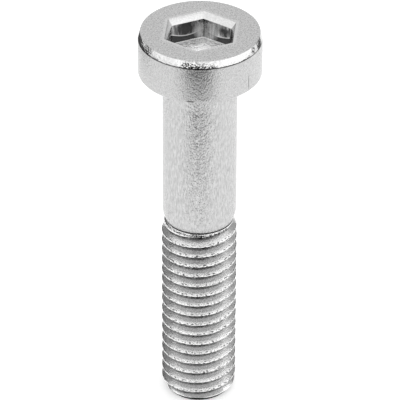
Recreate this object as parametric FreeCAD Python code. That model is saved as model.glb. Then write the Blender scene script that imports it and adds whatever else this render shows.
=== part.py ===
# Low head socket cap screw, M8 x 40, part threaded, stainless steel.
# One cold-headed and thread-rolled piece: a low cylinder head with a hexagon socket,
# a plain shank, and a right-hand thread that runs out under the shank's shoulder.
#
# Frame, in millimetres: the axis of the screw is Z and the head is up. Z = 0 is the
# bearing face under the head, and two corners of the socket lie on the Y axis.
import FreeCAD, Part
import math
import os

V = FreeCAD.Vector
AXIS_FOOT = V(0, 0, 0)
AXIS = V(0, 0, 1)
ARC_STEPS = 2              # small turned roundings are drawn as this many short cones

# Head
headDiameter = 12.86
headHeight = 4.82
headEdgeWidth = 0.25       # top edge: a steep cone, narrow across the top
headEdgeDrop = 0.75        # and this far down the side
headFootChamfer = 0.15     # broken edge between the side and the bearing face

# Hexagon socket for a 6 mm key
socketWidth = 6.12         # across flats
socketDepth = 2.85
leadInWidth = 0.46         # how far each of the six lead-in facets leans out at the mouth
leadInDepth = 0.62

# Shank
shankDiameter = 7.8
filletRadius = 0.4         # from the bearing face into the shank
screwLength = 39.6         # bearing face to end: nominal 40, within its tolerance
shankLength = 17.75        # bearing face to the end of the shoulder, where the thread begins
shoulderLength = 1.35      # the shank rounds off over this length
neckDiameter = 7.2         # at the shoulder's end

# Thread, right-hand
threadDiameter = 7.97
threadPitch = 1.25
coreDiameter = 6.47        # at the bottom of the groove
flankAngle = 30.0          # of each flank, from the plane across the axis
rootWidth = 0.2            # width of the groove's bottom
firstCrest = 0.2           # the first crest lies this far below the shoulder
crestBearing = -84.94      # at this angle round the axis from +X
crestRunOut = 1.25         # below the shoulder, the crests reach their full height over this length
grooveRunOut = 1.05        # and the groove reaches its full depth over this one
runOutStep = 0.06          # how far the run-out starts below the neck's surface
endDiameter = 6.46         # flat end
endTaper = 0.95            # length of the tapered end of the thread
endChamfer = 0.22          # broken edge between the taper and the flat end

headRadius = headDiameter / 2
shankRadius = shankDiameter / 2
neckRadius = neckDiameter / 2
threadRadius = threadDiameter / 2
coreRadius = coreDiameter / 2
flatRadius = endDiameter / 2
crestDepth = shankLength + firstCrest


def steppedArc(centre, radius, startAngle, endAngle, steps):
    """Points along an arc in the XZ plane; the angles are in degrees from +X towards +Z."""
    points = []
    for step in range(steps + 1):
        a = math.radians(startAngle + (endAngle - startAngle) * step / steps)
        points.append((centre[0] + radius * math.cos(a), centre[1] + radius * math.sin(a)))
    return points


def turned(points):
    """Solid of revolution from its half outline, as points (radius, height)."""
    outline = Part.makePolygon([V(r, 0, z) for r, z in points + points[:1]])
    return Part.Face(outline).revolve(AXIS_FOOT, AXIS, 360)


def makeBlank():
    """Head, shank, shoulder and the outside of the thread, as one turned solid."""
    top = headHeight
    end = -screwLength
    # The shoulder starts tangent to the shank.
    shoulderDrop = shankRadius - neckRadius
    shoulderRadius = (shoulderLength ** 2 + shoulderDrop ** 2) / (2 * shoulderDrop)
    shoulderSweep = math.degrees(math.asin(shoulderLength / shoulderRadius))
    shoulderCentre = (shankRadius - shoulderRadius, shoulderLength - shankLength)
    filletCentre = (shankRadius + filletRadius, -filletRadius)
    return turned(
        [
            (0, top),
            (headRadius - headEdgeWidth, top),
            (headRadius, top - headEdgeDrop),
            (headRadius, headFootChamfer),
            (headRadius - headFootChamfer, 0),
        ]
        + steppedArc(filletCentre, filletRadius, 90, 180, ARC_STEPS)
        + steppedArc(shoulderCentre, shoulderRadius, 0, -shoulderSweep, ARC_STEPS)
        + [
            (threadRadius, -shankLength - crestRunOut),
            (threadRadius, end + endTaper),
            (flatRadius + endChamfer, end + endChamfer),
            (flatRadius, end),
            (0, end),
        ]
    )


def makeGrooveTurns():
    """The helical groove between the crests, one solid for each turn, from the end up."""
    slope = math.tan(math.radians(flankAngle))
    foot = rootWidth / 2
    crestWidth = threadPitch - rootWidth - 2 * (threadRadius - coreRadius) * slope
    # Outside the crests the cutter stays narrower than the pitch, so its turns never meet.
    mouth = threadPitch / 2 - crestWidth / 4
    mouthRadius = coreRadius + (mouth - foot) / slope
    corners = [(mouthRadius, -mouth), (coreRadius, -foot), (coreRadius, foot), (mouthRadius, mouth)]
    section = Part.makePolygon([V(r, 0, z) for r, z in corners + corners[:1]])
    helix = Part.Wire(Part.makeHelix(threadPitch, threadPitch, coreRadius).Edges)
    turn = helix.makePipeShell([section], True, True)
    turn.rotate(AXIS_FOOT, AXIS, crestBearing)

    # The groove starts below the end of the screw and stops above the end of the shoulder.
    grooveDepth = crestDepth + threadPitch / 2
    turnsDown = math.ceil((screwLength + threadPitch - grooveDepth) / threadPitch)
    turnsUp = math.ceil((grooveDepth + threadPitch - shankLength) / threadPitch)

    # What the rolls reach: below the shoulder, and outside a cone that closes the groove.
    reach = mouthRadius + threadPitch
    below = -screwLength - 3 * threadPitch
    inside = coreRadius - rootWidth
    rolled = turned([
        (neckRadius - runOutStep, -shankLength),
        (reach, -shankLength),
        (reach, below),
        (inside, below),
        (inside, -shankLength - grooveRunOut),
    ])
    turns = []
    for step in range(-turnsDown, turnsUp):
        copy = turn.copy()
        copy.translate(V(0, 0, step * threadPitch - grooveDepth))
        turns.append(copy.common(rolled))
    return turns


def hexagon(width, z):
    corner = width / math.sqrt(3)
    points = [V(corner * math.sin(math.pi / 3 * i), corner * math.cos(math.pi / 3 * i), z) for i in range(7)]
    return Part.makePolygon(points)


def makeSocket():
    """Straight hexagon hole with a flat floor, and the six lead-in facets at its mouth."""
    top = headHeight
    floor = top - socketDepth
    hole = Part.Face(hexagon(socketWidth, floor)).extrude(V(0, 0, socketDepth))
    # The facets are drawn twice as tall as they show, so that they run out above the head.
    tallLeadIn = [hexagon(socketWidth, top - leadInDepth), hexagon(socketWidth + 4 * leadInWidth, top + leadInDepth)]
    leadIn = Part.makeLoft(tallLeadIn, True, True)
    return hole.fuse(leadIn)


def makeScrew():
    screw = makeBlank().cut(makeSocket())
    for turn in makeGrooveTurns():
        screw = screw.cut(turn)
    return screw


os.makedirs("parts", exist_ok=True)
screw = makeScrew()
solids = screw.Solids
print("solids", len(solids), "valid", screw.isValid(), "volume mm3", round(screw.Volume, 2))
solids[0].exportStep("parts/screw.step")
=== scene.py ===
# A low head socket cap screw in satin stainless steel, standing on its flat end on a pale floor.
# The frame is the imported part's: metres, +Z towards the head, Z = 0 at the bearing face.
import math
import bpy
from mathutils import Matrix, Vector


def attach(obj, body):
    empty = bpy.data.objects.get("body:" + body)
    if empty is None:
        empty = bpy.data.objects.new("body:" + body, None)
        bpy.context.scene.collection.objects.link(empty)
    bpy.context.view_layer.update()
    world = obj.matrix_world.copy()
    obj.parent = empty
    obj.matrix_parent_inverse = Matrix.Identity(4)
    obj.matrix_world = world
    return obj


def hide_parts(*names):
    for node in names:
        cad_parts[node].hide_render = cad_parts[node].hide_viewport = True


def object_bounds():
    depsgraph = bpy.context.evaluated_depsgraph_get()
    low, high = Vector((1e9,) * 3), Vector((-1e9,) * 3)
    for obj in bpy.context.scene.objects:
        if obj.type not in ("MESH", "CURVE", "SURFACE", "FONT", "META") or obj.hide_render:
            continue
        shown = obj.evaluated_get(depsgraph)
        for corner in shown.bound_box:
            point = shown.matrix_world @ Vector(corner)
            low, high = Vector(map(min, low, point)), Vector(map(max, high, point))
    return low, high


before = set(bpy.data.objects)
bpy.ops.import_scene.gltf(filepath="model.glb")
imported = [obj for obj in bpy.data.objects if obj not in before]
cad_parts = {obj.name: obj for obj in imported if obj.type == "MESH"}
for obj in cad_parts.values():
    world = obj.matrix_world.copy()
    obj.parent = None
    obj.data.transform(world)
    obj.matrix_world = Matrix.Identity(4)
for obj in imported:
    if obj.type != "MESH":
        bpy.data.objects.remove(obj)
cadLow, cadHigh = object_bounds()
mm = 0.001
print("frame loaded, screw box in mm:", [round(v / mm, 2) for v in cadHigh - cadLow])


def linearColour(hexColour):
    # sRGB hex to the linear colour that the shader takes
    channels = [int(hexColour[i:i + 2], 16) / 255 for i in (1, 3, 5)]
    linear = [c / 12.92 if c <= 0.04045 else ((c + 0.055) / 1.055) ** 2.4 for c in channels]
    return (*linear, 1.0)


def addNode(tree, kind, settings=None, links=None):
    # settings are sockets or properties of the node, links are sockets fed from other nodes
    node = tree.nodes.new(kind)
    for name, value in (settings or {}).items():
        if isinstance(name, int) or name in node.inputs:
            node.inputs[name].default_value = value
        else:
            setattr(node, name, value)
    for name, source in (links or {}).items():
        tree.links.new(source, node.inputs[name])
    return node


def emptyMaterial(name):
    material = bpy.data.materials.new(name)
    material.use_nodes = True
    material.node_tree.nodes.clear()
    return material


def addObject(name, data):
    newObject = bpy.data.objects.new(name, data)
    bpy.context.scene.collection.objects.link(newObject)
    return newObject


# Screw. Sizes in mm; the head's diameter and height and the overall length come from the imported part.
screw = {
    "columns": 180,           # points round the axis, a multiple of 6 to meet the hexagon's corners
    "headEdgeWidth": 0.25,    # steep cone round the top of the head
    "headEdgeDrop": 0.75,
    "headConeRound": 0.6,     # between the cone and the side
    "headFootChamfer": 0.15,
    "headFootRounds": (0.2, 0.1),   # above and below that chamfer
    "faceRing": 4.9,          # radius where the rows of the top face turn from hexagon to circle
    "socketWidth": 6.12,      # hexagon for a 6 mm key, across flats
    "socketDepth": 2.85,
    "leadInWidth": 0.46,
    "leadInDepth": 0.62,
    "mouthMargin": 0.3,       # a row on the face, this far outside the lead-in
    "socketFootRound": 0.16,
    "floorRingShare": 0.75,   # of the socket's width, for a row between the dish and the walls
    "dishDiameter": 4.4,      # shallow dish that the punch leaves in the middle of the floor
    "dishDepth": 0.45,
    "dishRows": 8,
    "edgeRound": 0.05,        # broken edges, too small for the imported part
    "shankDiameter": 7.8,
    "filletRadius": 0.4,
    "shankLength": 17.75,     # from the bearing face to the end of the shoulder
    "shankRows": (-3.0, -9.0),      # heights of the rows between fillet and shoulder
    "shoulderLength": 1.35,
    "shoulderRows": 10,
    "neckDiameter": 7.2,
    "threadDiameter": 7.97,
    "threadPitch": 1.25,
    "coreDiameter": 6.47,
    "flankAngle": 30.0,
    "flankPoints": (0.33, 0.67),    # shares of each flank's length at which points are added
    "rootWidth": 0.2,
    "crestRound": 0.07,
    "rootRound": 0.165,
    "firstCrest": 0.2,        # below the shoulder, at the bearing that follows
    "crestBearing": -84.94,
    "crestRunOut": 1.25,
    "grooveRunOut": 1.05,
    "runOutStep": 0.06,
    "endDiameter": 6.46,
    "endTaper": 0.95,
    "endChamfer": 0.22,
    "endRows": 3,
    "spareTurns": 3,          # turns of the thread drawn past either end, then cut off
    "snap": 0.02,             # points this near the shoulder or the end join its row
    "hair": 0.001,            # heights that differ by less are the same
    "sharpAngle": 38,         # faces that meet at a larger angle, in degrees, keep a hard edge
}
screw["headRadius"] = (cadHigh.x - cadLow.x) / 2 / mm
screw["headHeight"] = cadHigh.z / mm
screw["length"] = -cadLow.z / mm


def roundedCorners(points, radii, steps=3, straight=89):
    # an outline of (radius, height) points with each corner rounded by its own radius; straight is half the
    # angle in degrees above which a corner is left as it is
    rounded = [points[0]]
    for before, corner, after, radius in zip(points, points[1:], points[2:], radii[1:]):
        corner = Vector(corner)
        toBefore = (Vector(before) - corner).normalized()
        toAfter = (Vector(after) - corner).normalized()
        halfAngle = toBefore.angle(toAfter) / 2
        if radius == 0 or halfAngle > math.radians(straight):
            rounded.append(tuple(corner))
            continue
        centre = corner + (toBefore + toAfter).normalized() * radius / math.sin(halfAngle)
        start = corner + toBefore * radius / math.tan(halfAngle) - centre
        sweep = start.angle_signed(corner + toAfter * radius / math.tan(halfAngle) - centre)
        for step in range(steps + 1):
            turn = Matrix.Rotation(-sweep * step / steps, 2)
            rounded.append(tuple(centre + turn @ start))
    return rounded + [points[-1]]


def threadProfile(size):
    # one pitch of the rolled thread, as (offset along the axis from the crest, radius)
    slope = math.tan(math.radians(size["flankAngle"]))
    crest = size["threadDiameter"] / 2
    core = size["coreDiameter"] / 2
    crestWidth = size["threadPitch"] - size["rootWidth"] - 2 * (crest - core) * slope
    half = size["threadPitch"] / 2
    corners = [
        (-half, core),
        (-half + size["rootWidth"] / 2, core),
        (-crestWidth / 2, crest),
        (0, crest),
    ]
    rising = roundedCorners(corners, [0, size["rootRound"], size["crestRound"], 0])
    # The root's rounding ends at the fifth point, and the flank above it gets points of its own.
    rootPoints = rising[:5]
    flankFoot = Vector(rootPoints[-1])
    flankHead = Vector(rising[5])
    onFlank = [tuple(flankFoot.lerp(flankHead, share)) for share in size["flankPoints"]]
    rising = rootPoints + onFlank + rising[5:]
    return rising + [(-offset, radius) for offset, radius in reversed(rising[1:-1])]


def smallerOf(a, b, blend=0.03):
    # the smaller of two radii, with the edge between them rounded off
    h = max(blend - abs(a - b), 0) / blend
    return min(a, b) - h * h * blend / 4


def turnedRadius(size, depth):
    # outside of the thread blank: it widens under the shoulder and tapers at the end
    neck = size["neckDiameter"] / 2
    crest = size["threadDiameter"] / 2
    flat = size["endDiameter"] / 2
    fromEnd = size["length"] - depth
    fromShoulder = depth - size["shankLength"]
    if fromShoulder < size["crestRunOut"]:
        return neck + (crest - neck) * fromShoulder / size["crestRunOut"]
    if fromEnd < size["endChamfer"]:
        return flat + fromEnd
    if fromEnd < size["endTaper"]:
        part = (fromEnd - size["endChamfer"]) / (size["endTaper"] - size["endChamfer"])
        return flat + size["endChamfer"] + (crest - flat - size["endChamfer"]) * part
    return crest


def runOutRadius(size, depth):
    # the cone that closes the groove under the shoulder
    start = size["neckDiameter"] / 2 - size["runOutStep"]
    foot = size["coreDiameter"] / 2 - size["rootWidth"]
    return start + (foot - start) * (depth - size["shankLength"]) / size["grooveRunOut"]


class ScrewMesh:
    # points and faces gathered ring by ring, from the socket's floor to the flat end
    def __init__(self, size):
        self.size = size
        self.points = []
        self.faces = []
        self.zones = []
        self.columns = size["columns"]
        turn = 2 * math.pi / self.columns
        self.bearings = [math.radians(90) + turn * column for column in range(self.columns)]

    def addPoint(self, bearing, radius, height):
        self.points.append((radius * math.cos(bearing) * mm, radius * math.sin(bearing) * mm, height * mm))
        return len(self.points) - 1

    def addRing(self, radiusAt, height):
        return [self.addPoint(bearing, radiusAt(bearing), height) for bearing in self.bearings]

    def addFace(self, corners, zone):
        corners = list(dict.fromkeys(corners))
        if len(corners) > 2:
            self.faces.append(corners)
            self.zones.append(zone)

    def joinRings(self, inner, outer, zone):
        for column in range(self.columns):
            after = (column + 1) % self.columns
            self.addFace([inner[column], outer[column], outer[after], inner[after]], zone)

    def closeRing(self, ring, height, zone, facesDown=False):
        middle = self.addPoint(0, 0, height)
        for column in range(self.columns):
            after = (column + 1) % self.columns
            corners = [ring[column], ring[after], middle]
            self.addFace(corners[::-1] if facesDown else corners, zone)


def hexagonRadius(bearing, width):
    # distance from the axis to a hexagon's side, with two corners on the Y axis
    sixth = math.radians(60)
    fromFlat = (bearing - math.radians(90)) % sixth - sixth / 2
    return width / 2 / math.cos(fromFlat)


def buildSocket(mesh):
    size = mesh.size
    top = size["headHeight"]
    floor = top - size["socketDepth"]
    width = size["socketWidth"]
    mouth = width / 2 + size["leadInWidth"]
    dish = size["dishDiameter"] / 2
    rows = size["dishRows"]
    rings = []
    for step in range(1, rows + 1):
        # The dish fades out at its rim, as half a cosine wave.
        height = floor - size["dishDepth"] * (1 + math.cos(math.pi * step / rows)) / 2
        rings.append(mesh.addRing(lambda bearing: dish * step / rows, height))
    for inner, outer in zip(rings, rings[1:]):
        mesh.joinRings(inner, outer, "socketFloor")
    mesh.closeRing(rings[0], floor - size["dishDepth"], "socketFloor")
    dishRim = rings[-1]
    outline = [
        (width / 2 * size["floorRingShare"], floor),
        (width / 2, floor),
        (width / 2, top - size["leadInDepth"]),
        (mouth, top),
        (mouth + size["mouthMargin"], top),
    ]
    edge = size["edgeRound"]
    outline = roundedCorners(outline, [0, size["socketFootRound"], edge, edge, 0])
    rings = []
    for halfWidth, height in outline:
        rings.append(mesh.addRing(lambda bearing: hexagonRadius(bearing, 2 * halfWidth), height))
    mesh.joinRings(dishRim, rings[0], "socketFloor")
    for (halfWidth, height), inner, outer in zip(outline, rings, rings[1:]):
        if height < floor + size["hair"]:
            zone = "socketFloor"
        elif height < top - size["leadInDepth"] - edge:
            zone = "socketWall"
        else:
            zone = "leadIn"
        mesh.joinRings(inner, outer, zone)
    return rings[-1]


def buildHeadAndShank(mesh, mouthRing):
    size = mesh.size
    top = size["headHeight"]
    head = size["headRadius"]
    shank = size["shankDiameter"] / 2
    neck = size["neckDiameter"] / 2
    edge = size["edgeRound"]
    chamfer = size["headFootChamfer"]
    # The shoulder is an arc that starts tangent to the shank.
    run = size["shoulderLength"]
    drop = shank - neck
    shoulderRadius = (run ** 2 + drop ** 2) / (2 * drop)
    shoulder = []
    for step in range(size["shoulderRows"] + 1):
        down = run * step / size["shoulderRows"]
        radius = shank - shoulderRadius + math.sqrt(shoulderRadius ** 2 - down ** 2)
        shoulder.append((radius, run - size["shankLength"] - down))
    outline = [
        (size["faceRing"], top),
        (head - size["headEdgeWidth"], top),
        (head, top - size["headEdgeDrop"]),
        (head, chamfer),
        (head - chamfer, 0),
        (shank, 0),
        *[(shank, height) for height in size["shankRows"]],
    ]
    radii = [0, edge, size["headConeRound"], *size["headFootRounds"], size["filletRadius"], 0, 0]
    outline = roundedCorners(outline, radii, steps=4) + shoulder
    ring = mouthRing
    for radius, height in outline:
        if height > top - size["hair"]:
            zone = "face"
        elif height > top - size["headEdgeDrop"] - edge:
            zone = "edge"
        elif height > -size["hair"]:
            zone = "side"
        else:
            zone = "shank"
        following = mesh.addRing(lambda bearing: radius, height)
        mesh.joinRings(ring, following, zone)
        ring = following
    return ring


def buildThread(mesh, topRing):
    # The rows follow the helix, so that crests and roots are clean edges.
    size = mesh.size
    pitch = size["threadPitch"]
    start = size["shankLength"]
    stop = size["length"] - size["endChamfer"]
    snap = size["snap"]
    firstCrest = start + size["firstCrest"]
    profile = threadProfile(size)
    perTurn = len(profile) - 1
    profile = profile[:perTurn]
    firstTurn = -size["spareTurns"]
    lastTurn = math.ceil((stop - firstCrest) / pitch) + size["spareTurns"]
    endRing = [None] * mesh.columns
    known = {}

    def crestAt(bearing):
        # depth of the first crest; it rises with the bearing, as a right-hand thread does
        return firstCrest - pitch * (bearing - math.radians(size["crestBearing"])) / (2 * math.pi)

    def radiusAt(depth, radius):
        return smallerOf(turnedRadius(size, depth), max(radius, runOutRadius(size, depth)))

    def profileAt(bearing, depth):
        # radius of the thread at any depth, between the profile's points
        offset = (depth - crestAt(bearing) + pitch / 2) % pitch - pitch / 2
        closed = profile + [(pitch / 2, profile[0][1])]
        for (a, low), (b, high) in zip(closed, closed[1:]):
            if a <= offset <= b:
                return low + (high - low) * (offset - a) / (b - a)
        return profile[0][1]

    def pointAt(column, row):
        if column == mesh.columns:
            column = 0
            row -= perTurn
        turn, step = divmod(row, perTurn)
        offset, radius = profile[step]
        bearing = mesh.bearings[column]
        depth = crestAt(bearing) + turn * pitch + offset
        if depth < start + snap:
            return topRing[column]
        if depth > stop - snap:
            if endRing[column] is None:
                endRadius = radiusAt(stop, profileAt(bearing, stop))
                endRing[column] = mesh.addPoint(bearing, endRadius, -stop)
            return endRing[column]
        if (column, row) not in known:
            known[column, row] = mesh.addPoint(bearing, radiusAt(depth, radius), -depth)
        return known[column, row]

    for column in range(mesh.columns):
        for row in range(firstTurn * perTurn, lastTurn * perTurn):
            corners = [
                pointAt(column, row),
                pointAt(column, row + 1),
                pointAt(column + 1, row + 1),
                pointAt(column + 1, row),
            ]
            mesh.addFace(corners, "thread")

    # The broken edge at the end, then the flat.
    ring = endRing
    for step in range(1, size["endRows"] + 1):
        depth = stop + size["endChamfer"] * step / size["endRows"]
        following = mesh.addRing(lambda bearing: radiusAt(depth, profileAt(bearing, depth)), -depth)
        mesh.joinRings(ring, following, "thread")
        ring = following
    mesh.closeRing(ring, -size["length"], "thread", facesDown=True)


def buildScrew(materials):
    mesh = ScrewMesh(screw)
    mouthRing = buildSocket(mesh)
    neckRing = buildHeadAndShank(mesh, mouthRing)
    buildThread(mesh, neckRing)
    data = bpy.data.meshes.new("screwSurface")
    data.from_pydata(mesh.points, [], mesh.faces)
    names = list(materials)
    for name in names:
        data.materials.append(materials[name])
    data.polygons.foreach_set("material_index", [names.index(zone) for zone in mesh.zones])
    data.polygons.foreach_set("use_smooth", [True] * len(data.polygons))
    data.update()
    data.set_sharp_from_angle(angle=math.radians(screw["sharpAngle"]))
    piece = addObject("satinScrew", data)
    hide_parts("screw")
    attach(piece, "root")
    triangles = sum(len(face) - 2 for face in mesh.faces)
    print("screw built,", triangles, "triangles")


# Steel. One stainless steel throughout, a neutral grey metal; each surface shows how it was made, and the
# socket's floor is painted lighter. Grain sizes are in mm, across and along the axis of the screw. The real
# ones are about a third as large and are drawn this coarse to show. Relief is the depth of the grain in mm,
# spread is how far the roughness varies, and a streak is the length of the shades where it differs from the
# grain's.
steel = {
    # Pressed by the end of the punch: matt and broken up, with bright specks. Its colour is white, lighter
    # than the steel, as painted light in the bottom of the socket.
    "socketFloor": {
        "name": "pressedStainlessFloor", "colour": "#FFFFFF", "dark": "#ECECEC",
        "roughness": 0.5, "spread": 0.7, "across": 0.24, "along": 0.24, "relief": 0.18,
    },
    # Scraped by the punch on its way down: glossy, with long streaks.
    "socketWall": {
        "name": "punchedStainlessWall", "colour": "#F0F0F0", "dark": "#A6A6A6",
        "roughness": 0.16, "spread": 0.1, "across": 0.2, "along": 1.6, "relief": 0.016,
    },
    # Coined smooth: soft, clean reflections.
    "leadIn": {
        "name": "coinedStainlessLeadIn", "colour": "#CECECE", "dark": "#C0C0C0",
        "roughness": 0.2, "spread": 0.08, "across": 0.2, "along": 0.2, "relief": 0.005,
    },
    # Forged flat and barrel finished: an even, fine frost.
    "face": {
        "name": "satinStainlessFace", "colour": "#CCCCCC", "dark": "#A6A6A6",
        "roughness": 0.3, "spread": 0.08, "across": 0.16, "along": 0.16, "relief": 0.016,
    },
    # Burnished by the die: nearly a mirror, seen as a bright band.
    "edge": {
        "name": "burnishedStainlessEdge", "colour": "#D8D8D8", "dark": "#C8C8C8",
        "roughness": 0.12, "spread": 0.06, "across": 0.3, "along": 0.25, "relief": 0.024,
    },
    # Barrel finished like the face, with grain a little longer along the axis.
    "side": {
        "name": "satinStainlessSide", "colour": "#C9C9C9", "dark": "#B0B0B0",
        "roughness": 0.27, "spread": 0.1, "across": 0.125, "along": 0.2, "relief": 0.036,
    },
    # Drawn through a die as wire: a satin gloss with faint streaks along the axis.
    "shank": {
        "name": "drawnStainlessShank", "colour": "#C9C9C9", "dark": "#AEAEAE",
        "roughness": 0.17, "spread": 0.1, "across": 0.12, "along": 0.26, "streak": 0.6, "relief": 0.066,
    },
    # Rolled between dies: polished flanks that mirror the ones above them.
    "thread": {
        "name": "rolledStainlessThread", "colour": "#F2F2F2", "dark": "#DCDCDC",
        "roughness": 0.21, "spread": 0.08, "across": 0.15, "along": 0.11, "relief": 0.025,
    },
}
noiseDetail = 2.0                 # each pattern has grain of half and a quarter of its size too
roughnessRange = (0.3, 0.7)       # the share of the noise over which the roughness varies
shadeRange = (0.35, 0.65)         # and over which the shades go from dark to light

# Marks of making and handling, with painted shade and painted highlights among them. Places are in the part's
# frame and sizes in mm; ragged is how far an outline wanders.
steelMarks = {
    # Painted shade at the bottom of the grooves, fading out between two radii.
    "recessShade": {"colour": "#101010", "from": 3.2, "to": 3.48, "ragged": 0.2, "grain": 0.22},
    # Painted shade on the flanks that face down. The range is of the normal's height.
    "undersideShade": {"colour": "#A4A4A4", "from": -0.5, "to": -0.25},
    # Dark dashes along the crests. They lie outside a radius and where the noise is high.
    "crestDashes": {
        "colour": "#585858", "from": 3.84, "to": 3.92,
        "across": 0.26, "along": 0.08, "detail": 1.0, "least": 0.54, "most": 0.6,
    },
    # Painted shade in two dark lines where the shoulder meets the thread, and a thin dark line at the foot of
    # the head's cone. Lines are (height, half width, ragged).
    "shoulderShadeLines": {
        "colour": "#3C3C3C", "grain": 0.14,
        "lines": [(-17.77, 0.09, 0.0), (-18.06, 0.06, 0.7)],
    },
    "coneDarkLine": {"colour": "#666666", "grain": 0.14, "lines": [(4.05, 0.06, 0.0)]},
    # Speckled scuffs on the edge of the head, where screws knock together in the barrel: (place, reach).
    "scuffs": {
        "colour": "#303030",
        "grain": 0.14,
        "least": 0.45,
        "most": 0.53,
        "solidShare": 0.6,    # of its reach
        "places": [
            ((-0.75, -6.27, 4.1), 0.85),
            ((-0.1, -6.33, 3.95), 1.0),
            ((0.8, -6.3, 3.85), 1.0),
            ((1.7, -6.1, 3.75), 0.9),
            ((-5.1, -3.8, 4.4), 0.9),
            ((5.72, -2.76, 4.45), 0.42),
        ],
    },
    # A long scratch on the side of the head, and a patch of painted shade on its lower edge at the front:
    # (place, half sizes).
    "scratchAndShade": {
        "colour": "#5A5A5A",
        "solidShare": 0.6,
        "places": [((5.305, -3.633, 1.2), (0.05, 0.05, 1.1)), ((-0.415, -6.38, 0.16), (0.5, 0.3, 0.13))],
    },
    # Painted light and shade on the socket's walls: a painted highlight line that rises with the distance
    # from the axis, painted shade below it, and a second painted highlight line along the foot. Shade patches
    # are (place, reach).
    "wallShading": {
        "colour": "#4C4C4C",
        "highlightColour": "#F2F2F2",
        "lineStart": 2.2,     # the radius at which the line meets the floor
        "lineRise": 0.85,
        "lineReach": 0.08,
        "footHighlight": 0.09,     # its height above the floor
        "footHighlightShare": 0.6,     # how bright it is beside the other line
        "litCornerPlace": (0.4, 3.3, 3.0),
        "litCornerFrom": 1.0,
        "litCornerTo": 1.5,
        "litCornerShadeShare": 0.25,   # of the painted shade that is left there
        "shadePatches": [((-1.75, 2.5, 3.5), 1.9), ((2.35, 2.17, 3.45), 0.95)],
        "shadePatchSolid": 0.35,   # of its reach
        "ragged": 1.3,
        "raggedAcross": 0.286,
        "raggedAlong": 0.714,
    },
}
fading = {"To Min": 1.0, "To Max": 0.0}     # for a range in which a mark fades out


def addGrain(tree, place, across, along, detail=noiseDetail):
    # noise with one size across the axis of the screw and another along it
    wide = 1 / (across * mm)
    scaled = addNode(tree, "ShaderNodeMapping", {"Scale": (wide, wide, 1 / (along * mm))}, {"Vector": place})
    return addNode(
        tree,
        "ShaderNodeTexNoise",
        {"Scale": 1.0, "Detail": detail},
        {"Vector": scaled.outputs["Vector"]},
    )


def distanceFromAxis(tree, place):
    flat = addNode(tree, "ShaderNodeVectorMath", {"operation": "MULTIPLY", 1: (1, 1, 0)}, {0: place})
    distance = addNode(tree, "ShaderNodeVectorMath", {"operation": "LENGTH"}, {0: flat.outputs["Vector"]})
    return distance.outputs["Value"]


def anyOf(tree, masks):
    # the largest of several masks
    largest = masks[0]
    for mask in masks[1:]:
        largest = addNode(tree, "ShaderNodeMath", {"operation": "MAXIMUM"}, {0: largest, 1: mask}).outputs[0]
    return largest


def nearPlace(tree, place, centre, solid, reach):
    # 1 within the solid distance of a point, fading to 0 at its reach
    point = Vector(centre) * mm
    away = addNode(tree, "ShaderNodeVectorMath", {"operation": "DISTANCE", 1: point}, {0: place})
    return addNode(
        tree,
        "ShaderNodeMapRange",
        {**fading, "From Min": solid * mm, "From Max": reach * mm},
        {"Value": away.outputs["Value"]},
    ).outputs["Result"]


def rootShadeMask(tree, place):
    # painted shade at the bottom of the grooves, fading out between two radii
    recessShade = steelMarks["recessShade"]
    shift = recessShade["ragged"] / 2
    grain = addGrain(tree, place, recessShade["grain"], recessShade["grain"])
    ragged = addNode(
        tree,
        "ShaderNodeMath",
        {"operation": "MULTIPLY_ADD", 1: recessShade["ragged"] * mm},
        {0: grain.outputs["Fac"], 2: distanceFromAxis(tree, place)},
    )
    return addNode(
        tree,
        "ShaderNodeMapRange",
        {
            **fading,
            "From Min": (recessShade["from"] + shift) * mm,
            "From Max": (recessShade["to"] + shift) * mm,
            "interpolation_type": "SMOOTHSTEP",
        },
        {"Value": ragged.outputs[0]},
    ).outputs["Result"]


def undersideShadeMask(tree):
    # Painted shade on the flanks that face down; the flanks that face up mirror these ones.
    undersideShade = steelMarks["undersideShade"]
    normal = addNode(tree, "ShaderNodeNewGeometry").outputs["True Normal"]
    tilt = addNode(tree, "ShaderNodeSeparateXYZ", None, {"Vector": normal})
    return addNode(
        tree,
        "ShaderNodeMapRange",
        {**fading, "From Min": undersideShade["from"], "From Max": undersideShade["to"]},
        {"Value": tilt.outputs["Z"]},
    ).outputs["Result"]


def crestDashMask(tree, place):
    dashes = steelMarks["crestDashes"]
    onCrest = addNode(
        tree,
        "ShaderNodeMapRange",
        {"From Min": dashes["from"] * mm, "From Max": dashes["to"] * mm},
        {"Value": distanceFromAxis(tree, place)},
    )
    grain = addGrain(tree, place, dashes["across"], dashes["along"], dashes["detail"])
    dash = addNode(
        tree,
        "ShaderNodeMapRange",
        {"From Min": dashes["least"], "From Max": dashes["most"]},
        {"Value": grain.outputs["Fac"]},
    )
    return addNode(
        tree,
        "ShaderNodeMath",
        {"operation": "MULTIPLY"},
        {0: dash.outputs["Result"], 1: onCrest.outputs["Result"]},
    ).outputs[0]


def darkLineMask(tree, place, darkLines):
    # dark lines round the axis at given heights: painted shade under the shoulder, and a thin line at the
    # foot of the head's cone
    height = addNode(tree, "ShaderNodeSeparateXYZ", None, {"Vector": place}).outputs["Z"]
    grain = addGrain(tree, place, darkLines["grain"], darkLines["grain"])
    lines = []
    for lineHeight, reach, ragged in darkLines["lines"]:
        wandering = addNode(
            tree,
            "ShaderNodeMath",
            {"operation": "MULTIPLY_ADD", 1: ragged * mm},
            {0: grain.outputs["Fac"], 2: height},
        )
        line = addNode(
            tree,
            "ShaderNodeMath",
            {"operation": "COMPARE", 1: (lineHeight + ragged / 2) * mm, 2: reach * mm},
            {0: wandering.outputs[0]},
        )
        lines.append(line.outputs[0])
    return anyOf(tree, lines)


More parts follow.
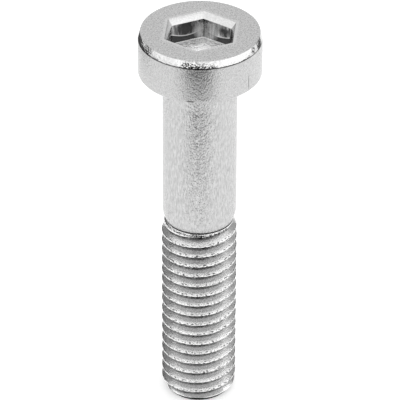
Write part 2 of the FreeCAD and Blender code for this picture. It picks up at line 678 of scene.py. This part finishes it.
def scuffMask(tree, place):
    scuffs = steelMarks["scuffs"]
    grain = addGrain(tree, place, scuffs["grain"], scuffs["grain"])
    speckle = addNode(
        tree,
        "ShaderNodeMapRange",
        {"From Min": scuffs["least"], "From Max": scuffs["most"]},
        {"Value": grain.outputs["Fac"]},
    )
    share = scuffs["solidShare"]
    spots = [nearPlace(tree, place, centre, reach * share, reach) for centre, reach in scuffs["places"]]
    return addNode(
        tree,
        "ShaderNodeMath",
        {"operation": "MULTIPLY"},
        {0: speckle.outputs["Result"], 1: anyOf(tree, spots)},
    ).outputs[0]


def scratchAndShadeMask(tree, place):
    # a scratch on the side of the head, and a patch of painted shade on its lower edge
    scratchAndShade = steelMarks["scratchAndShade"]
    masks = []
    for centre, half in scratchAndShade["places"]:
        middle = Vector(centre) * mm
        away = addNode(tree, "ShaderNodeVectorMath", {"operation": "SUBTRACT", 1: middle}, {0: place})
        scaled = addNode(
            tree,
            "ShaderNodeVectorMath",
            {"operation": "DIVIDE", 1: Vector(half) * mm},
            {0: away.outputs["Vector"]},
        )
        length = addNode(tree, "ShaderNodeVectorMath", {"operation": "LENGTH"}, {0: scaled.outputs["Vector"]})
        mask = addNode(
            tree,
            "ShaderNodeMapRange",
            {**fading, "From Min": scratchAndShade["solidShare"], "From Max": 1.0},
            {"Value": length.outputs["Value"]},
        )
        masks.append(mask.outputs["Result"])
    return anyOf(tree, masks)


def wanderingPlace(tree, place, grain, ragged):
    # the place shifted by the grain's colours, whose mean is 0.5, up to half the ragged distance each way
    centred = addNode(
        tree,
        "ShaderNodeVectorMath",
        {"operation": "SUBTRACT", 1: (0.5, 0.5, 0.5)},
        {0: grain.outputs["Color"]},
    )
    shift = addNode(
        tree,
        "ShaderNodeVectorMath",
        {"operation": "SCALE", "Scale": ragged * mm},
        {0: centred.outputs["Vector"]},
    )
    return addNode(
        tree,
        "ShaderNodeVectorMath",
        {"operation": "ADD"},
        {0: place, 1: shift.outputs["Vector"]},
    ).outputs["Vector"]


def wallShadingMasks(tree, place):
    # masks of the painted shade and of the painted highlights
    wallShading = steelMarks["wallShading"]
    reach = wallShading["lineReach"] * mm
    floor = screw["headHeight"] - screw["socketDepth"]
    height = addNode(tree, "ShaderNodeSeparateXYZ", None, {"Vector": place}).outputs["Z"]
    lineHeight = addNode(
        tree,
        "ShaderNodeMath",
        {
            "operation": "MULTIPLY_ADD",
            1: wallShading["lineRise"],
            2: (floor - wallShading["lineRise"] * wallShading["lineStart"]) * mm,
        },
        {0: distanceFromAxis(tree, place)},
    )
    above = addNode(tree, "ShaderNodeMath", {"operation": "SUBTRACT"}, {0: height, 1: lineHeight.outputs[0]})
    below = addNode(
        tree,
        "ShaderNodeMapRange",
        {**fading, "From Min": -reach, "From Max": 0.0},
        {"Value": above.outputs[0]},
    )
    grain = addGrain(tree, place, wallShading["raggedAcross"], wallShading["raggedAlong"])
    ragged = wanderingPlace(tree, place, grain, wallShading["ragged"])
    shadePatches = [
        nearPlace(tree, ragged, centre, patchReach * wallShading["shadePatchSolid"], patchReach)
        for centre, patchReach in wallShading["shadePatches"]
    ]
    recessShade = anyOf(tree, [below.outputs["Result"]] + shadePatches)

    # By the back corner the painted shade mostly gives way, so that corner is painted lighter.
    away = addNode(
        tree,
        "ShaderNodeVectorMath",
        {"operation": "DISTANCE", 1: Vector(wallShading["litCornerPlace"]) * mm},
        {0: place},
    )
    awayFromLitCorner = addNode(
        tree,
        "ShaderNodeMapRange",
        {
            "From Min": wallShading["litCornerFrom"] * mm,
            "From Max": wallShading["litCornerTo"] * mm,
            "To Min": wallShading["litCornerShadeShare"],
        },
        {"Value": away.outputs["Value"]},
    ).outputs["Result"]
    dark = addNode(tree, "ShaderNodeMath", {"operation": "MULTIPLY"}, {0: recessShade, 1: awayFromLitCorner})

    distance = addNode(tree, "ShaderNodeMath", {"operation": "ABSOLUTE"}, {0: above.outputs[0]})
    onLine = addNode(
        tree,
        "ShaderNodeMapRange",
        {**fading, "From Min": 0.0, "From Max": reach},
        {"Value": distance.outputs[0]},
    )
    line = addNode(
        tree,
        "ShaderNodeMath",
        {"operation": "MULTIPLY"},
        {0: onLine.outputs["Result"], 1: awayFromLitCorner},
    )
    onFoot = addNode(
        tree,
        "ShaderNodeMath",
        {"operation": "COMPARE", 1: (floor + wallShading["footHighlight"]) * mm, 2: wallShading["footHighlight"] / 2 * mm},
        {0: height},
    )
    foot = addNode(
        tree,
        "ShaderNodeMath",
        {"operation": "MULTIPLY", 1: wallShading["footHighlightShare"]},
        {0: onFoot.outputs[0]},
    )
    return dark.outputs[0], anyOf(tree, [line.outputs[0], foot.outputs[0]])


def marksOn(zone, tree, place):
    # the masks of a surface's marks, each with its colour, from the lowest to the uppermost
    layers = []
    if zone in ("shank", "thread"):
        # painted shade at the roots of the thread and in the corner under the shoulder
        shoulder = steelMarks["shoulderShadeLines"]
        layers.append((rootShadeMask(tree, place), steelMarks["recessShade"]["colour"]))
        layers.append((darkLineMask(tree, place, shoulder), shoulder["colour"]))
    if zone == "thread":
        # painted shade on the flanks that face down
        layers.append((undersideShadeMask(tree), steelMarks["undersideShade"]["colour"]))
        layers.append((crestDashMask(tree, place), steelMarks["crestDashes"]["colour"]))
    if zone in ("edge", "side"):
        cone = steelMarks["coneDarkLine"]
        layers.append((darkLineMask(tree, place, cone), cone["colour"]))
    if zone == "edge":
        layers.append((scuffMask(tree, place), steelMarks["scuffs"]["colour"]))
    if zone == "side":
        # a scratch, and painted shade on the head's lower edge
        layers.append((scratchAndShadeMask(tree, place), steelMarks["scratchAndShade"]["colour"]))
    if zone == "socketWall":
        # painted shade and painted highlights on the socket's walls
        dark, line = wallShadingMasks(tree, place)
        layers.append((dark, steelMarks["wallShading"]["colour"]))
        layers.append((line, steelMarks["wallShading"]["highlightColour"]))
    return layers


def makeStainless(zone):
    # Metallic, with the metal's own IOR. The grain varies its roughness and tilts its surface.
    finish = steel[zone]
    material = emptyMaterial(finish["name"])
    tree = material.node_tree
    place = addNode(tree, "ShaderNodeTexCoord").outputs["Object"]
    grain = addGrain(tree, place, finish["across"], finish["along"]).outputs["Fac"]
    shades = grain
    if "streak" in finish:
        shades = addGrain(tree, place, finish["across"], finish["streak"]).outputs["Fac"]
    rough = addNode(
        tree,
        "ShaderNodeMapRange",
        {
            "From Min": roughnessRange[0],
            "From Max": roughnessRange[1],
            "To Min": finish["roughness"] - finish["spread"] / 2,
            "To Max": finish["roughness"] + finish["spread"] / 2,
        },
        {"Value": shades},
    )
    bump = addNode(
        tree,
        "ShaderNodeBump",
        {"Strength": 1.0, "Distance": finish["relief"] * mm},
        {"Height": grain},
    )
    contrast = addNode(
        tree,
        "ShaderNodeMapRange",
        {"From Min": shadeRange[0], "From Max": shadeRange[1]},
        {"Value": shades},
    )
    colour = addNode(
        tree,
        "ShaderNodeMix",
        {"data_type": "RGBA", 6: linearColour(finish["dark"]), 7: linearColour(finish["colour"])},
        {0: contrast.outputs["Result"]},
    )
    for mask, markColour in marksOn(zone, tree, place):
        colour = addNode(
            tree,
            "ShaderNodeMix",
            {"data_type": "RGBA", 7: linearColour(markColour)},
            {0: mask, 6: colour.outputs[2]},
        )
    shader = addNode(
        tree,
        "ShaderNodeBsdfPrincipled",
        {"Metallic": 1.0},
        {
            "Base Color": colour.outputs[2],
            "Roughness": rough.outputs["Result"],
            "Normal": bump.outputs["Normal"],
        },
    )
    addNode(tree, "ShaderNodeOutputMaterial", None, {"Surface": shader.outputs["BSDF"]})
    return material


def polygon(sides, radius, height):
    corners = []
    for side in range(sides):
        angle = 2 * math.pi * side / sides
        corners.append((radius * math.cos(angle), radius * math.sin(angle), height))
    return corners


# Studio: a pale floor, a white room, four softboxes, and grey cards that shape the reflections. Sizes in
# mm, with the screw on the Z axis and the camera towards -Y. Cards are measured from the floor, softboxes
# from the bearing face. A softbox of level 1 adds as much light as the part of the white room behind it.
studio = {
    "floorColour": "#F0F0F0",
    "floorReach": 400,
    "floorFill": 0.3,         # glow that only the camera and the steel see
    "roomColour": "#FFFFFF",
    "roomLight": 0.95,        # on surfaces; seen directly or in the steel, the room has a strength of 1
    "softboxes": {
        "frontSoftbox": {"place": (0, -520, 70), "width": 820, "height": 150, "level": 0.62},
        "leftSoftbox": {"place": (-470, -240, 230), "width": 620, "height": 520, "level": 0.4},
        "topSoftbox": {"place": (0, 150, 480), "width": 360, "height": 260, "level": 0.9},
        "rightSoftbox": {"place": (500, -170, 200), "width": 720, "height": 540, "level": 0.66},
    },
    "cards": {
        "frontCard": ("#5A5A5A", [(-34, -60, 1), (26, -60, 1), (60, -170, 1), (-90, -170, 1)]),
        # A dark disc under the end, seen only in reflections: painted contact shadow for the end's broken
        # edge.
        "contactShadeCard": ("#101010", polygon(8, 3.8, 0.04)),
        "tableCard": ("#343434", [(-120, -150, 2), (120, -150, 2), (420, -500, 2), (-420, -500, 2)]),
        "leftTableCard": ("#343434", [(-120, -150, 2), (-160, 20, 2), (-290, 20, 2), (-300, -330, 2)]),
        "rightTableCard": ("#343434", [(120, -150, 2), (160, 20, 2), (290, 20, 2), (300, -330, 2)]),
        "standCard": ("#383838", [(-190, -345, 0), (95, -345, 0), (95, -345, 60), (-190, -345, 60)]),
        "cameraCard": ("#505050", [(-90, -420, 330), (90, -420, 330), (90, -300, 520), (-90, -300, 520)]),
        "leftCard": ("#484848", [(-99, 12, 0), (-42, 91, 0), (-42, 91, 30), (-99, 12, 30)]),
        "rightCard": ("#5C5C5C", [(90, 49, 0), (68, 75, 0), (68, 75, 30), (90, 49, 30)]),
        "tallLeftCard": ("#828282", [(-250, 111, 40), (-130, 330, 40), (-130, 330, 290), (-250, 111, 290)]),
        "tallRightCard": ("#9C9C9C", [(300, 160, 40), (190, 330, 40), (190, 330, 420), (300, 160, 420)]),
    },
}


def seenDirectly(tree):
    # 1 for the camera and for what the steel mirrors, 0 for the light that falls on surfaces
    path = addNode(tree, "ShaderNodeLightPath")
    ways = ["Is Camera Ray", "Is Glossy Ray", "Is Transmission Ray"]
    return anyOf(tree, [path.outputs[way] for way in ways])


def makeFloor():
    data = bpy.data.meshes.new("floorSheet")
    reach = studio["floorReach"] * mm
    level = cadLow.z
    corners = [(-reach, -reach, level), (reach, -reach, level), (reach, reach, level), (-reach, reach, level)]
    data.from_pydata(corners, [], [(0, 1, 2, 3)])
    floor = addObject("floor", data)
    material = emptyMaterial("paleFloor")
    tree = material.node_tree
    seen = seenDirectly(tree)
    fill = addNode(tree, "ShaderNodeMath", {"operation": "MULTIPLY", 1: studio["floorFill"]}, {0: seen})
    shader = addNode(tree, "ShaderNodeBsdfDiffuse", {"Color": linearColour(studio["floorColour"])})
    glow = addNode(tree, "ShaderNodeEmission", None, {"Strength": fill.outputs[0]})
    both = addNode(
        tree,
        "ShaderNodeAddShader",
        None,
        {0: shader.outputs["BSDF"], 1: glow.outputs["Emission"]},
    )
    addNode(tree, "ShaderNodeOutputMaterial", None, {"Surface": both.outputs["Shader"]})
    data.materials.append(material)


def makeCards(turn):
    # Only gloss sees the cards.
    base = Vector((0, 0, cadLow.z))
    for name, (colour, corners) in studio["cards"].items():
        material = emptyMaterial(name)
        tree = material.node_tree
        shader = addNode(tree, "ShaderNodeBsdfDiffuse", {"Color": linearColour(colour)})
        addNode(tree, "ShaderNodeOutputMaterial", None, {"Surface": shader.outputs["BSDF"]})
        data = bpy.data.meshes.new(name)
        points = [turn @ Vector(corner) * mm + base for corner in corners]
        data.from_pydata(points, [], [range(len(points))])
        data.materials.append(material)
        card = addObject(name, data)
        card.visible_camera = False
        card.visible_diffuse = False
        card.visible_shadow = False


def makeRoom():
    world = bpy.data.worlds.new("paleRoom")
    world.use_nodes = True
    tree = world.node_tree
    tree.nodes.clear()
    strength = addNode(
        tree,
        "ShaderNodeMapRange",
        {"To Min": studio["roomLight"], "To Max": 1.0},
        {"Value": seenDirectly(tree)},
    )
    back = addNode(
        tree,
        "ShaderNodeBackground",
        {"Color": linearColour(studio["roomColour"])},
        {"Strength": strength.outputs["Result"]},
    )
    addNode(tree, "ShaderNodeOutputWorld", None, {"Surface": back.outputs["Background"]})
    bpy.context.scene.world = world


def makeSoftboxes(turn):
    for name, box in studio["softboxes"].items():
        data = bpy.data.lights.new(name, "AREA")
        data.shape = "RECTANGLE"
        data.size = box["width"] * mm
        data.size_y = box["height"] * mm
        data.energy = box["level"] * math.pi * data.size * data.size_y
        light = addObject(name, data)
        place = turn @ Vector(box["place"]) * mm
        light.location = place
        light.rotation_euler = (-place).to_track_quat("-Z", "Y").to_euler()
        light.visible_camera = False


# Camera, as the photograph was taken. Sizes in mm, angles in degrees.
view = {
    "distance": 388.16,
    "elevation": 33.13,
    "bearing": -84.94,       # where the camera stands, round the axis from +X
    "roll": 0.29,
    "focalLength": 331.16,
    "sensorWidth": 36,
    "clipStart": 0.01,       # in metres
    "aimHeight": -15.875,
    "aimAside": 0.06,
}


def makeCamera(turn):
    elevation = math.radians(view["elevation"])
    roll = math.radians(view["roll"])
    back = Vector((0, -math.cos(elevation), math.sin(elevation)))
    right = Vector((1, 0, 0))
    up = back.cross(right)
    rolledRight = right * math.cos(roll) + up * math.sin(roll)
    rolledUp = up * math.cos(roll) - right * math.sin(roll)
    axes = turn @ Matrix((rolledRight, rolledUp, back)).transposed()
    aim = turn @ Vector((view["aimAside"], 0, view["aimHeight"])) * mm
    data = bpy.data.cameras.new("camera")
    data.lens = view["focalLength"]
    data.sensor_width = view["sensorWidth"]
    data.clip_start = view["clipStart"]
    camera = addObject("camera", data)
    camera.matrix_world = Matrix.Translation(aim + axes.col[2] * view["distance"] * mm) @ axes.to_4x4()
    bpy.context.scene.camera = camera


materials = {zone: makeStainless(zone) for zone in steel}
print("steel made,", len(materials), "finishes")
buildScrew(materials)
cameraTurn = Matrix.Rotation(math.radians(view["bearing"] + 90), 3, "Z")
makeFloor()
makeRoom()
makeCards(cameraTurn)
makeSoftboxes(cameraTurn)
makeCamera(cameraTurn)
bpy.context.scene.view_settings.view_transform = "Standard"
print("studio lit")
